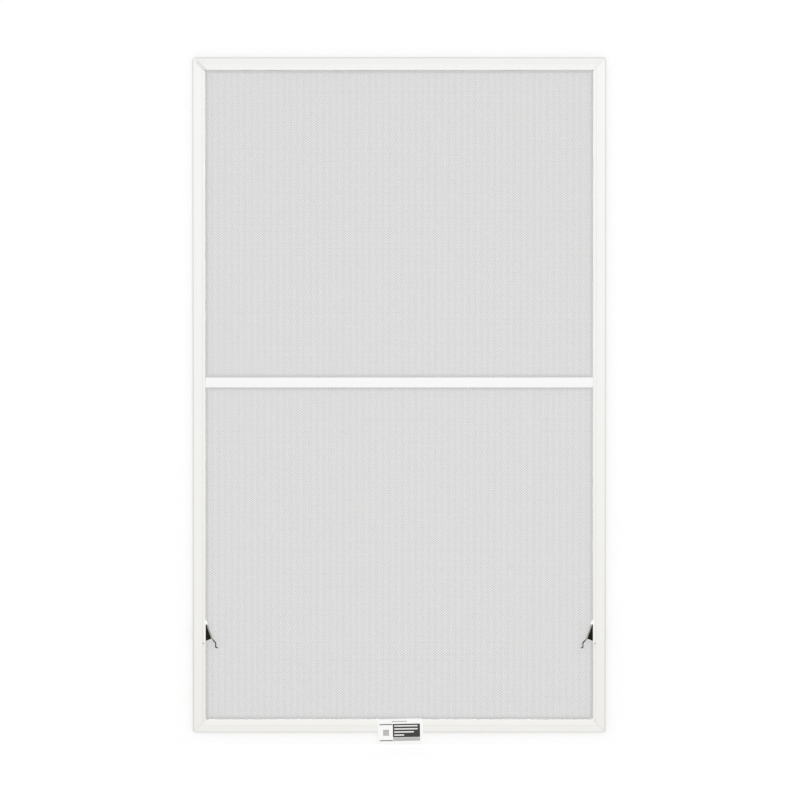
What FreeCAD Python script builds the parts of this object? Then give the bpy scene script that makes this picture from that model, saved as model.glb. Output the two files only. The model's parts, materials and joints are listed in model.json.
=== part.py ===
import FreeCAD, Part
import math
import os

from FreeCAD import Vector

# A full insect screen for a double-hung window, in millimetres.
# X runs to the right, Y from the room to the outside and Z up.
# The origin is on the underside of the bottom rail's box, at its middle.

# Overall sizes, to the edges of the front lip
frame_width = 759.0
frame_height = 1240.5
outer_corner_radius = 4.0

# Rail section: distances in from the lip's edge, and back from the front face
rail_face = 23.2
rail_depth = 11.0
sheet_wall = 0.65
front_lip = 6.0
inner_lip = 2.0
groove_width = 4.0
groove_depth = 4.2
cloth_recess = 1.4
face_edge_radius = 1.0
back_edge_radius = 0.8
hem_edge_radius = 0.58
bead_width = 0.9
bead_depth = 0.3
side_bead_inset = 5.5
sill_bead_inset = 9.9

# Mitred corners: the top left joint stands open and shows the key's rib
mitre_joint = 0.5
open_mitre_joint = 4.2
web_share = 0.68
web_inset = 0.35
sill_fillet_radius = 4.0
sill_fillet_root = 0.5
key_reach = 52.0
key_fit = 0.12
key_pockets = 3
key_rib = 2.2
key_pocket_depth = 3.0

# Crossbar and its end plugs
crossbar_face = 19.0
crossbar_centre = 644.0
crossbar_setback = 0.4
crossbar_cloth_gap = 0.35
crossbar_edge_radius = 1.4
crossbar_end_gap = 0.12
plug_length = 24.0
plug_fit = 0.12
tongue_width = 9.0
tongue_length = 8.0
tongue_clearance = 0.4
tongue_slot_gap = 0.15

# Screen cloth: a coarse grid of flat bands, as open as the fine weave that it stands for
warp_pitch = 1.411
weft_pitch = 1.588
yarn_thickness = 0.28
openings_across = 12
openings_up = 20
cloth_border = 6.0
cloth_seat_gap = 0.06
skirt_wall = 0.35
skirt_depth = 3.2
skirt_gap = 0.1
spline_gap = 0.1

# Release latch: distances in from the rail's inner edge and up from the top of the lever's black wedge
latch_height = 198.8
pivot_in = 1.0
pivot_up = 2.0
pin_radius = 0.6
pin_fit = 0.02
pin_front = 0.3
pin_length = 5.6
bore_clearance = 0.05
eye_radius = 1.5
neck_drop = 1.2
lever_swing = 16.0
lever_front = 1.6
lever_thickness = 2.5
lever_inside = 1.4
lever_corner_radius = 0.8
arm_root_radius = 1.5
heel_radius = 0.4
wedge_reach = 11.5
wedge_drop = 26.2
wedge_heel_in = 0.9
wedge_heel_drop = 30.4
arch_in = 7.4
arch_drop = 27.6
arch_radius = 6.0
arm_top = 12.0
arm_bottom = 22.5
tab_in = 10.2
tab_width = 1.8
tab_top = 5.5
tab_corner_radius = 0.6
nose_reach = 4.5
nose_top = 13.4
nose_tip = 3.2
nose_ramp = 5.7
nose_bottom = 21.0
nose_slot_top = 12.2
nose_slot_height = 10.0
nose_slot_gap = 0.35
strip_thickness = 1.6
strip_overlap = 0.4
strip_front = 0.9
strip_width = 6.2
strip_top_in = 2.4
strip_top_drop = 1.8
tail_elbow = (13.9, -29.6)
tail_knee = (17.2, -33.4)
tail_bulge = (18.4, -37.2)
tail_ankle = (17.5, -40.6)
tail_arch = (18.6, -42.4)
tail_toe = (21.3, -43.1)

# Latch housing: a hood over the pivot and a strip that laps the rail's front face
flange_width = 2.5
flange_thickness = 0.5
flange_drop = 33.4
seat_gap = 0.05
notch_width = 1.8
notch_drop = 33.0
notch_rise = 8.2
notch_fit = 0.1
hood_rise = 9.2
hood_reach = 3.9
hood_shoulder = 3.0
hood_back = 6.4
hood_edge_radius = 1.0
hood_crown_radius = 0.8
hood_shoulder_radius = 1.2
hood_lip_radius = 0.2
cavity_gap = 0.25
cavity_side_gap = 0.2
housing_foot = 2.0
spring_wall = 1.0
spring_wall_drop = 11.0
snap_hole_radius = 0.9
snap_hole_out = 3.9
snap_hole_drop = 35.0

# Hairpin return spring between the housing's wall and the lever's tab
spring_thickness = 0.3
spring_front = 1.9
spring_strip = 2.0
spring_seat_gap = 0.1
spring_shoulder = 5.0
spring_foot = 10.5

# Tag on the bottom rail
label_width = 83.0
label_height = 45.4
label_thickness = 0.3
label_corner_radius = 3.0
label_overhang = 20.6
label_offset = 2.2
label_tilt = 1.0

# Places that follow from the sizes above
left_edge = -frame_width / 2
right_edge = frame_width / 2
bottom_edge = -front_lip
top_edge = frame_height - front_lip
front_plane = -rail_depth / 2
hem = 2 * sheet_wall
groove_in = rail_face - inner_lip
groove_out = groove_in - groove_width
cloth_seat = rail_depth - cloth_recess
groove_floor = cloth_seat - groove_depth
latch_z = bottom_edge + latch_height
crossbar_z = bottom_edge + crossbar_centre
through = 2 * rail_depth

side_ends = {
    "left": (bottom_edge, top_edge),
    "right": (bottom_edge, top_edge),
    "bottom": (left_edge, right_edge),
    "top": (left_edge, right_edge),
}
side_corners = {
    "left": ("bottom_left", "top_left"),
    "right": ("bottom_right", "top_right"),
    "bottom": ("bottom_left", "bottom_right"),
    "top": ("top_left", "top_right"),
}
corner_joints = {
    "top_left": open_mitre_joint,
    "top_right": mitre_joint,
    "bottom_left": mitre_joint,
    "bottom_right": mitre_joint,
}


def at(side, inward, back, along):
    """The point so far in from a side's outer edge, back from the front face and along the side."""
    y = front_plane + back
    if side == "left":
        return Vector(left_edge + inward, y, along)
    if side == "right":
        return Vector(right_edge - inward, y, along)
    if side == "bottom":
        return Vector(along, y, bottom_edge + inward)
    return Vector(along, y, top_edge - inward)


def side_box(side, inward, back, along):
    """A box given by its low and high distances in, back and along a side."""
    low, high = at(side, inward[0], back[0], along[0]), at(side, inward[1], back[1], along[1])
    size = high - low
    corner = Vector(min(low.x, high.x), min(low.y, high.y), min(low.z, high.z))
    return Part.makeBox(abs(size.x), abs(size.y), abs(size.z), corner)


def rounded_wire(corners, place):
    """A closed outline through flat corners, each with its own radius, set in space by place."""
    bends = []
    for index, (a, b, radius) in enumerate(corners):
        corner = Vector(a, b, 0)
        before = corners[index - 1]
        after = corners[(index + 1) % len(corners)]
        to_before = (Vector(before[0], before[1], 0) - corner).normalize()
        to_after = (Vector(after[0], after[1], 0) - corner).normalize()
        half_turn = to_before.getAngle(to_after) / 2
        reach = radius / math.tan(half_turn)
        bends.append((corner + to_before * reach, corner, corner + to_after * reach))
        if radius > 0:
            bisector = (to_before + to_after).normalize()
            crown = corner + bisector * (radius / math.sin(half_turn) - radius)
            bends[-1] = (corner + to_before * reach, crown, corner + to_after * reach)
    edges = []
    for index, (start, crown, end) in enumerate(bends):
        next_start = bends[(index + 1) % len(bends)][0]
        if corners[index][2] > 0:
            edges.append(Part.Arc(place(start), place(crown), place(end)).toShape())
        if end.distanceToPoint(next_start) > 1e-6:
            edges.append(Part.makeLine(place(end), place(next_start)))
    return Part.Wire(edges)


def flat_prism(corners, front, back):
    """A prism over an outline in X and Z, between two depths behind the front face."""

    def place(point):
        return Vector(point.x, front_plane + front, point.y)

    return Part.Face(rounded_wire(corners, place)).extrude(Vector(0, back - front, 0))


def rail_outline(bead_insets):
    """The rail's outer section: lip, front face with its beads, inner edge, spline groove and back."""
    beads = []
    for inset in bead_insets:
        bead = rail_face - inset
        beads += [(bead - bead_width / 2, 0, 0), (bead, bead_depth, 0), (bead + bead_width / 2, 0, 0)]
    return [
        (0, 0, hem_edge_radius),
        *beads,
        (rail_face, 0, face_edge_radius),
        (rail_face, cloth_seat, sheet_wall / 2),
        (groove_in, cloth_seat, sheet_wall / 2),
        (groove_in, groove_floor, 0),
        (groove_out, groove_floor, 0),
        (groove_out, rail_depth, sheet_wall / 2),
        (front_lip, rail_depth, back_edge_radius),
        (front_lip, hem, 0),
        (0, hem, hem_edge_radius),
    ]


def rail_hollow():
    """The inside of the rail's box, one sheet wall behind its outer section."""
    return [
        (front_lip + sheet_wall, sheet_wall, 0),
        (rail_face - sheet_wall, sheet_wall, 0),
        (rail_face - sheet_wall, cloth_seat - sheet_wall, 0),
        (groove_in + sheet_wall, cloth_seat - sheet_wall, 0),
        (groove_in + sheet_wall, groove_floor - sheet_wall, 0),
        (groove_out - sheet_wall, groove_floor - sheet_wall, 0),
        (groove_out - sheet_wall, rail_depth - sheet_wall, 0),
        (front_lip + sheet_wall, rail_depth - sheet_wall, 0),
    ]


def side_bar(side, outline):
    """A straight bar of one section, along the whole of a side."""
    start, end = side_ends[side]

    def place(point):
        return at(side, point.x, point.y, start)

    length = at(side, 0, 0, end) - at(side, 0, 0, start)
    return Part.Face(rounded_wire(outline, place)).extrude(length)


def mitre_prism(side):
    """What the mitre saw leaves of a side: each end is set back by half its corner's joint."""
    start, end = side_ends[side]
    first, last = side_corners[side]
    near = start + corner_joints[first] / math.sqrt(2)
    far = end - corner_joints[last] / math.sqrt(2)
    margin = rail_face
    ends = [
        (-margin, near - margin),
        (-margin, far + margin),
        (rail_face + margin, far - rail_face - margin),
        (rail_face + margin, near + rail_face + margin),
    ]
    points = [at(side, inward, -rail_depth, along) for inward, along in ends]
    face = Part.Face(Part.makePolygon(points + points[:1]))
    return face.extrude(Vector(0, rail_depth + through, 0))


def rounded_frame():
    """The frame's whole rounded outline, thicker than the rails."""
    radius = outer_corner_radius
    corners = [
        (left_edge, bottom_edge, radius),
        (right_edge, bottom_edge, radius),
        (right_edge, top_edge, radius),
        (left_edge, top_edge, radius),
    ]
    return flat_prism(corners, -rail_depth, through)


def rail(side):
    """One mitred rail, hollow, with one bead rolled into its front face, or two at the sill."""
    bead_insets = (sill_bead_inset, side_bead_inset) if side == "bottom" else (side_bead_inset,)
    tube = side_bar(side, rail_outline(bead_insets)).cut(side_bar(side, rail_hollow()))
    return tube.common(mitre_prism(side)).common(rounded_frame())


def side_rail(side):
    """A side rail with its slots for the crossbar's tongue and the release latch."""
    notch_along = (latch_z - notch_drop, latch_z + notch_rise)
    slot_along = (latch_z - nose_slot_top - nose_slot_height, latch_z - nose_slot_top)
    slot_back = (lever_front - nose_slot_gap, lever_front + lever_thickness + nose_slot_gap)
    tongue_half = tongue_width / 2 + tongue_slot_gap
    tongue_back = tongue_depths()
    cuts = [
        side_box(
            side,
            (rail_face - 2 * sheet_wall, rail_face + sheet_wall),
            (tongue_back[0] - tongue_slot_gap, tongue_back[1] + tongue_slot_gap),
            (crossbar_z - tongue_half, crossbar_z + tongue_half),
        ),
        side_box(
            side,
            (rail_face - notch_width, rail_face + sheet_wall),
            (-sheet_wall, groove_floor - sheet_wall - notch_fit),
            notch_along,
        ),
        side_box(side, (front_lip - sheet_wall, front_lip + 2 * sheet_wall), slot_back, slot_along),
        Part.makeCylinder(
            snap_hole_radius,
            2 * sheet_wall,
            at(side, rail_face - snap_hole_out, -sheet_wall / 2, latch_z - snap_hole_drop),
            Vector(0, 1, 0),
        ),
    ]
    return rail(side).cut(cuts)


def tongue_depths():
    """The tongue's front, level with its plug's, and its back, clear of the spline groove."""
    return crossbar_setback + sheet_wall + plug_fit, groove_floor - sheet_wall - tongue_clearance


def from_corner(side, corner, distance):
    """The place along a side so far from one of its corners."""
    start, end = side_ends[side]
    return start + distance if corner == side_corners[side][0] else end - distance


def key_leg(side, corner):
    """One ribbed leg of a corner key, in the rail's box."""
    inward = (front_lip + sheet_wall + key_fit, groove_out - sheet_wall - key_fit)
    back = (sheet_wall + key_fit, rail_depth - sheet_wall - key_fit)
    along = (from_corner(side, corner, inward[0]), from_corner(side, corner, key_reach))
    leg = side_box(side, inward, back, along)
    pitch = (key_reach - inward[1] - key_rib) / key_pockets
    front_pocket = (back[0] - sheet_wall, back[0] + key_pocket_depth)
    back_pocket = (back[1] - key_pocket_depth, back[1] + sheet_wall)
    across = (inward[0] + key_rib, inward[1] - key_rib)
    for index in range(key_pockets):
        near = inward[1] + key_rib + index * pitch
        along = (from_corner(side, corner, near), from_corner(side, corner, near + pitch - key_rib))
        for pocket in (front_pocket, back_pocket):
            leg = leg.cut(side_box(side, across, pocket, along))
    return leg


def mitre_slice(side, corner, outline):
    """Half of a key's diagonal rib: a slice of a side's section beside the mitre plane."""
    thickness = corner_joints[corner] / 2 * web_share
    depth = thickness * math.sqrt(2)
    margin = rail_face
    ends = [
        (-margin, -margin),
        (-margin, depth - margin),
        (rail_face + margin, rail_face + margin + depth),
        (rail_face + margin, rail_face + margin),
    ]
    points = [at(side, inward, -rail_depth, from_corner(side, corner, along)) for inward, along in ends]
    slab = Part.Face(Part.makePolygon(points + points[:1])).extrude(Vector(0, rail_depth + through, 0))
    return side_bar(side, outline).common(slab)


def mitre_web(corner, inner_end):
    """The key's diagonal rib, which fills the mitre joint a little below the rails' faces."""
    inset = web_inset
    outline = [
        (inset, inset, 0),
        (inner_end, inset, 0),
        (inner_end, cloth_seat - inset, 0),
        (groove_in + inset, cloth_seat - inset, 0),
        (groove_in + inset, groove_floor - inset, 0),
        (groove_out - inset, groove_floor - inset, 0),
        (groove_out - inset, rail_depth - inset, 0),
        (front_lip + inset, rail_depth - inset, 0),
        (front_lip + inset, hem - inset, 0),
        (inset, hem - inset, 0),
    ]
    level, side = corner.split("_")
    web = mitre_slice(level, corner, outline).fuse(mitre_slice(side, corner, outline))
    return web.common(rounded_frame())


def sill_fillet(corner):
    """The small fillet that rounds the opening's corner above the bottom rail."""
    across = 1 if corner.endswith("left") else -1
    x = left_edge + rail_face if across > 0 else right_edge - rail_face
    z = bottom_edge + rail_face
    radius = sill_fillet_radius
    crown = radius * (1 - math.sqrt(0.5))
    y = front_plane + web_inset
    root = Vector(x, y, z)
    foot = Vector(x + across * radius, y, z)
    head = Vector(x, y, z + radius)
    arc = Part.Arc(foot, Vector(x + across * crown, y, z + crown), head).toShape()
    outline = Part.Wire([Part.makeLine(root, foot), arc, Part.makeLine(head, root)])
    return Part.Face(outline).extrude(Vector(0, cloth_seat - 2 * web_inset, 0))


def corner_key(corner):
    """A moulded key: two ribbed legs, the mitre rib and, at the sill, a corner fillet."""
    level, side = corner.split("_")
    key = key_leg(level, corner).fuse(key_leg(side, corner))
    if level == "top":
        return key.fuse(mitre_web(corner, rail_face - web_inset)).removeSplitter()
    web = mitre_web(corner, rail_face + sill_fillet_root)
    return key.fuse([web, sill_fillet(corner)]).removeSplitter()


def crossbar_section(inset):
    """The crossbar's outline, in Z and depth, inset by a wall."""
    half = crossbar_face / 2 - inset
    front = crossbar_setback + inset
    back = cloth_seat - crossbar_cloth_gap - inset
    soft = max(crossbar_edge_radius - inset, 0)
    return [(-half, front, soft), (half, front, soft), (half, back, 0), (-half, back, 0)]


def crossbar_bar(inset, start, end):
    """A length of the crossbar's section along X."""

    def place(point):
        return Vector(start, front_plane + point.y, crossbar_z + point.x)

    return Part.Face(rounded_wire(crossbar_section(inset), place)).extrude(Vector(end - start, 0, 0))


def crossbar():
    """A roll-formed tube from side rail to side rail, in front of the cloth."""
    end = right_edge - rail_face - crossbar_end_gap
    return crossbar_bar(0, -end, end).cut(crossbar_bar(sheet_wall, -end, end))


def crossbar_plug(side):
    """A plug in the crossbar's end, with a tongue through the side rail's inner wall."""
    bar_end = rail_face + crossbar_end_gap
    inner = at(side, bar_end, 0, 0).x
    outer = at(side, bar_end + plug_length, 0, 0).x
    body = crossbar_bar(sheet_wall + plug_fit, min(inner, outer), max(inner, outer))
    along = (crossbar_z - tongue_width / 2, crossbar_z + tongue_width / 2)
    tongue = side_box(side, (rail_face - tongue_length, bar_end + plug_length / 2), tongue_depths(), along)
    return body.fuse(tongue).removeSplitter()


def band_spans(length, openings, yarn_pitch):
    """The low and high edges of the bands between openings, across a length of cloth."""
    share = yarn_thickness / yarn_pitch
    free = length - 2 * cloth_border
    pitch = free / (openings - share)
    ends = [index * pitch - free / 2 for index in range(1, openings)]
    return [(end - share * pitch, end) for end in ends]


def insect_mesh():
    """The cloth: upright bands in front, level bands behind, and its edge turned into the groove."""
    edge = groove_in - skirt_gap - skirt_wall
    width, height = frame_width - 2 * edge, frame_height - 2 * edge
    middle_z = (bottom_edge + top_edge) / 2
    front = front_plane + cloth_seat + cloth_seat_gap
    middle = front + yarn_thickness
    back = middle + yarn_thickness

    def sheet(half_width, half_height, near, far):
        corner = Vector(-half_width, near, middle_z - half_height)
        return Part.makeBox(2 * half_width, far - near, 2 * half_height, corner)

    border = sheet(width / 2, height / 2, front, back).cut(
        sheet(width / 2 - cloth_border, height / 2 - cloth_border, front, back)
    )
    skirt = sheet(width / 2, height / 2, middle - skirt_depth, middle).cut(
        sheet(width / 2 - skirt_wall, height / 2 - skirt_wall, middle - skirt_depth, middle)
    )
    bands = []
    for low, high in band_spans(width, openings_across, warp_pitch):
        corner = Vector(low, front, middle_z - height / 2 + skirt_wall)
        bands.append(Part.makeBox(high - low, yarn_thickness, height - 2 * skirt_wall, corner))
    for low, high in band_spans(height, openings_up, weft_pitch):
        corner = Vector(-width / 2 + skirt_wall, middle, middle_z + low)
        bands.append(Part.makeBox(width - 2 * skirt_wall, yarn_thickness, high - low, corner))
    return border.fuse([skirt, *bands]).removeSplitter()


def spline():
    """The vinyl bead that wedges the cloth's edge in the groove, mitred at the corners."""
    groove_free = groove_width - skirt_gap - skirt_wall
    radius = groove_free / 2 - spline_gap
    inward = groove_out + groove_free / 2
    y = front_plane + groove_floor + spline_gap + radius
    x, low, high = right_edge - inward, bottom_edge + inward, top_edge - inward
    start = Vector(0, y, low)
    path = Part.makePolygon(
        [start, Vector(x, y, low), Vector(x, y, high), Vector(-x, y, high), Vector(-x, y, low), start]
    )
    ring = Part.Wire(Part.makeCircle(radius, start, Vector(1, 0, 0)))
    return Part.Wire(path.Edges).makePipeShell([ring], True, False, 1)


def latch_place(side, back):
    """Sets a latch's flat outline beside its rail, at a depth."""

    def place(point):
        return at(side, rail_face + point.x, back, latch_z + point.y)

    return place


def latch_plate(side, corners, front, back):
    """A plate over a latch outline, between two depths."""
    face = Part.Face(rounded_wire(corners, latch_place(side, front)))
    return face.extrude(Vector(0, back - front, 0))


def latch_box(side, inward, back, up):
    """A box given from the rail's inner edge and the wedge's top."""
    return side_box(
        side,
        (rail_face + inward[0], rail_face + inward[1]),
        back,
        (latch_z + up[0], latch_z + up[1]),
    )


def pivot_cylinder(side, radius, front, back):
    """A cylinder on the lever's pivot."""
    base = at(side, rail_face + pivot_in, front, latch_z + pivot_up)
    return Part.makeCylinder(radius, back - front, base, Vector(0, 1, 0))


def thick_strip(edges, thickness, back):
    """A bent strip of even thickness with round ends, as deep as back."""
    path = Part.Wire(edges)
    return path.makeOffset2D(thickness / 2, join=0, fill=True, openResult=False).extrude(Vector(0, back, 0))


def latch_lever(side):
    """The black lever: pivot eye, wedge, nose arm with its spring tab, and the curled finger strip."""
    nose_in = front_lip - nose_reach - rail_face
    outline = [
        (pivot_in - eye_radius, pivot_up, 0),
        (pivot_in - eye_radius, pivot_up - eye_radius, 0),
        (-lever_inside, -eye_radius, 0),
        (-lever_inside, -arm_top, lever_corner_radius),
        (-tab_in, -arm_top, tab_corner_radius),
        (-tab_in, -tab_top, tab_corner_radius),
        (-tab_in - tab_width, -tab_top, tab_corner_radius),
        (-tab_in - tab_width, -arm_top, tab_corner_radius),
        (nose_in, -nose_top, lever_corner_radius),
        (nose_in, -nose_top - nose_tip, lever_corner_radius),
        (nose_in + nose_ramp, -nose_bottom, arm_root_radius),
        (-lever_inside, -arm_bottom, arm_root_radius),
        (-lever_inside, -wedge_heel_drop, heel_radius),
        (wedge_heel_in, -wedge_heel_drop, heel_radius),
        (arch_in, -arch_drop, arch_radius),
        (wedge_reach, -wedge_drop, 0),
        (pivot_in + eye_radius, -neck_drop, 0),
        (pivot_in + eye_radius, pivot_up, 0),
    ]
    lever_back = lever_front + lever_thickness
    place = latch_place(side, strip_front)
    points = [
        place(Vector(a, b, 0))
        for a, b in [
            (strip_top_in, -strip_top_drop),
            (wedge_reach - strip_overlap, -wedge_drop),
            tail_elbow,
            tail_knee,
            tail_bulge,
            tail_ankle,
            tail_arch,
            tail_toe,
        ]
    ]
    edges = [
        Part.makeLine(points[0], points[1]),
        Part.Arc(points[1], points[2], points[3]).toShape(),
        Part.Arc(points[3], points[4], points[5]).toShape(),
        Part.Arc(points[5], points[6], points[7]).toShape(),
    ]
    lever = latch_plate(side, outline, lever_front, lever_back).fuse(
        [
            pivot_cylinder(side, eye_radius, lever_front, lever_back),
            thick_strip(edges, strip_thickness, strip_width),
        ]
    )
    bore = pivot_cylinder(side, pin_radius + bore_clearance, 0, rail_depth)
    return lever.removeSplitter().cut(bore)


def latch_housing(side):
    """The white housing: face strip, cheek in the rail's notch, pivot hood and spring wall."""
    cheek_in = -notch_width + notch_fit
    cheek_back = lever_front - cavity_side_gap
    notch_back = groove_floor - sheet_wall - 2 * notch_fit
    top = notch_rise - notch_fit
    foot = -notch_drop + notch_fit
    hood = [
        (-flange_width, 0, 0),
        (-flange_width, hood_rise - flange_width / 2, hood_edge_radius),
        (-flange_width / 2, hood_rise, hood_edge_radius),
        (seat_gap, hood_rise, hood_crown_radius),
        (hood_reach, hood_shoulder, hood_shoulder_radius),
        (hood_reach, 0, hood_lip_radius),
    ]
    boss = [
        (seat_gap, 0, 0),
        (seat_gap, hood_rise, hood_crown_radius),
        (hood_reach, hood_shoulder, hood_shoulder_radius),
        (hood_reach, 0, hood_lip_radius),
    ]
    wall_in = -lever_inside - spring_wall - cavity_gap
    front_wall = sheet_wall + notch_fit
    flange_front = -flange_thickness - seat_gap
    block_foot = pivot_up + eye_radius + cavity_gap
    solids = [
        latch_box(side, (-flange_width, -notch_fit), (flange_front, -seat_gap), (-flange_drop, 0)),
        latch_plate(side, hood, flange_front, -seat_gap),
        latch_plate(side, boss, flange_front, hood_back),
        latch_box(side, (cheek_in, -notch_fit), (-seat_gap, cheek_back), (foot, top)),
        latch_box(side, (cheek_in, -notch_fit), (-seat_gap, notch_back), (foot, foot + housing_foot)),
        latch_box(side, (cheek_in, seat_gap), (-seat_gap, notch_back), (block_foot, top)),
        latch_box(side, (wall_in, wall_in + spring_wall), (front_wall, notch_back), (-spring_wall_drop, top)),
        latch_box(side, (wall_in, cheek_in + notch_fit), (front_wall, notch_back), (block_foot, top)),
        latch_box(side, (wall_in, cheek_in + notch_fit), (front_wall, cheek_back), (-spring_wall_drop, top)),
    ]
    housing = solids[0].fuse(solids[1:])
    cavity_front = lever_front - cavity_side_gap
    cavity_back = lever_front + lever_thickness + cavity_side_gap
    half_neck = eye_radius + cavity_gap
    pin_back = pin_front + pin_length
    neck = [
        (pivot_in - half_neck, pivot_up, 0),
        (pivot_in - half_neck, -2 * neck_drop, 0),
        (pivot_in + half_neck, -2 * neck_drop, 0),
        (pivot_in + half_neck, pivot_up, 0),
    ]
    neck_at_rest = latch_plate(side, neck, cavity_front, cavity_back)
    neck_swung = neck_at_rest.copy()
    pivot = at(side, rail_face + pivot_in, 0, latch_z + pivot_up)
    neck_swung.rotate(pivot, Vector(0, 1 if side == "right" else -1, 0), lever_swing)
    housing = housing.cut(
        [
            pivot_cylinder(side, half_neck, cavity_front, cavity_back),
            neck_at_rest,
            neck_swung,
            pivot_cylinder(side, pin_radius + pin_fit, pin_front - pin_fit, pin_back + pin_fit),
        ]
    )
    return housing.removeSplitter()


def pivot_pin(side):
    """The lever's hinge pin, blind in the hood's front."""
    return pivot_cylinder(side, pin_radius, pin_front, pin_front + pin_length)


def return_spring(side):
    """A hairpin leaf spring that stands above the nose arm."""
    half = spring_thickness / 2
    right = -lever_inside - spring_wall - cavity_gap - spring_seat_gap - half
    left = -tab_in + spring_seat_gap + half
    place = latch_place(side, spring_front)
    corners = [
        (right, -spring_foot),
        (right, -spring_shoulder),
        ((left + right) / 2, -spring_shoulder + (right - left) / 2),
        (left, -spring_shoulder),
        (left, -spring_foot),
    ]
    points = [place(Vector(a, b, 0)) for a, b in corners]
    edges = [
        Part.makeLine(points[0], points[1]),
        Part.Arc(points[1], points[2], points[3]).toShape(),
        Part.makeLine(points[3], points[4]),
    ]
    return thick_strip(edges, spring_thickness, spring_strip)


def label():
    """A thin tag stuck to the bottom rail's face, a little askew, that hangs below the rail."""
    low = bottom_edge - label_overhang
    left, right = label_offset - label_width / 2, label_offset + label_width / 2
    corners = [
        (left, low, label_corner_radius),
        (right, low, label_corner_radius),
        (right, low + label_height, label_corner_radius),
        (left, low + label_height, label_corner_radius),
    ]
    card = flat_prism(corners, -seat_gap - label_thickness, -seat_gap)
    card.rotate(Vector(label_offset, front_plane, bottom_edge), Vector(0, -1, 0), label_tilt)
    return card


nodes = {
    "top_rail": rail("top"),
    "bottom_rail": rail("bottom"),
    "crossbar": crossbar(),
    "insect_mesh": insect_mesh(),
    "spline": spline(),
    "label": label(),
}
for corner in corner_joints:
    nodes[corner + "_key"] = corner_key(corner)
for side in ("left", "right"):
    nodes[side + "_rail"] = side_rail(side)
    nodes[side + "_crossbar_plug"] = crossbar_plug(side)
    nodes[side + "_latch_lever"] = latch_lever(side)
    nodes[side + "_latch_housing"] = latch_housing(side)
    nodes[side + "_pivot_pin"] = pivot_pin(side)
    nodes[side + "_return_spring"] = return_spring(side)

os.makedirs("parts", exist_ok=True)
for name, shape in nodes.items():
    shape.exportStep("parts/" + name + ".step")
    print(name, "solids", len(shape.Solids), "valid", shape.isValid(), "volume", round(shape.Volume, 2))
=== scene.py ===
# %% [markdown]
# A window insect screen, seen from the room. The rails, the crossbar, the corner keys and the two release
# latches come as finished solids from CAD, and they stay where they are. Blender adds what CAD does
# badly: the woven cloth, the ribbed vinyl bead that holds it, the print on the tag, and a finish for
# every surface. All lengths here are metres, in the same frame as the CAD part: X to the right, Y to the
# outside and Z up.

# %% Load the frame
import json
import math

import bmesh
import bpy
from mathutils import Euler, Matrix, Vector


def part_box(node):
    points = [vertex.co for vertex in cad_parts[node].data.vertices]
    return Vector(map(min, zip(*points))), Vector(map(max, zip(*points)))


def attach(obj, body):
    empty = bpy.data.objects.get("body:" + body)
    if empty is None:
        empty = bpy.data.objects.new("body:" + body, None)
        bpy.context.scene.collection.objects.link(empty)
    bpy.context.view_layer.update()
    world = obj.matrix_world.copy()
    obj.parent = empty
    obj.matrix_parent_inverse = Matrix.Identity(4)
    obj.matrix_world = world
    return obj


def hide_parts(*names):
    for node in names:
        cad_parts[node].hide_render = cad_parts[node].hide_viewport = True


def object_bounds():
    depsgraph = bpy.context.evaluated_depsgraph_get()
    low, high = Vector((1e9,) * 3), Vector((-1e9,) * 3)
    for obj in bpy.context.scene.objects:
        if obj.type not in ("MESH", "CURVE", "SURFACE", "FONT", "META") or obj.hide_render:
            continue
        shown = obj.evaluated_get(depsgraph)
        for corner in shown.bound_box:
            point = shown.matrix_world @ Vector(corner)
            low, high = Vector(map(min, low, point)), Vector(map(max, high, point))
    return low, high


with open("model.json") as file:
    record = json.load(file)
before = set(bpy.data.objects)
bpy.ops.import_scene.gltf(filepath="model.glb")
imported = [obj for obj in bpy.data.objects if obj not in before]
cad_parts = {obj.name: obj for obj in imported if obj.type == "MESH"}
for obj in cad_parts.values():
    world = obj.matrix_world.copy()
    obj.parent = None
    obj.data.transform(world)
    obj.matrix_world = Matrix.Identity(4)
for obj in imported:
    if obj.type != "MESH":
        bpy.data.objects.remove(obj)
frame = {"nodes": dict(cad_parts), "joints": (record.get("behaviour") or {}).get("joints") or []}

mm = 0.001
cad_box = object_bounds()
print("CAD nodes", len(frame["nodes"]), "box", [round(edge, 4) for corner in cad_box for edge in corner])

# %% [markdown]
# Shaders count in linear light, but a painter reads colours off a colour card. So colours are given here as
# they look on a screen, from 0 to 255, and one helper turns them into light. A second one makes the neutral
# tints that darken a surface without changing its hue.


# %% Colours
def screen_colour(red, green, blue):
    """A colour as a screen shows it, as linear light with full alpha."""
    shares = [value / 255 for value in (red, green, blue)]
    light = [share / 12.92 if share <= 0.04045 else ((share + 0.055) / 1.055) ** 2.4 for share in shares]
    return (*light, 1.0)


def grey(share):
    """A neutral tint that lets a share of the light through."""
    return (share, share, share, 1.0)


clean = grey(1.0)
print("a screen grey of 128 is", round(screen_colour(128, 128, 128)[0], 3), "of full light")

# %% [markdown]
# Every finish below starts from the same Principled shader, and differs in what drives it. The nodes could
# be wired by hand in the editor, but then nobody could follow how, so short helpers add them one by one. A
# finish reads the place of each point on the object and does arithmetic on it.


# %% Nodes and arithmetic
def add_node(tree, kind, sockets=None, **settings):
    """A node with its settings and its socket values."""
    node = tree.nodes.new(kind)
    for name, value in settings.items():
        setattr(node, name, value)
    for name, value in (sockets or {}).items():
        node.inputs[name].default_value = value
    return node


def maths(tree, operation, first, second=0.0):
    """One step of arithmetic on two values, each a socket or a number."""
    node = add_node(tree, "ShaderNodeMath", operation=operation)
    for socket, value in zip(node.inputs, (first, second)):
        if isinstance(value, (int, float)):
            socket.default_value = value
        else:
            tree.links.new(value, socket)
    return node.outputs[0]


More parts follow.
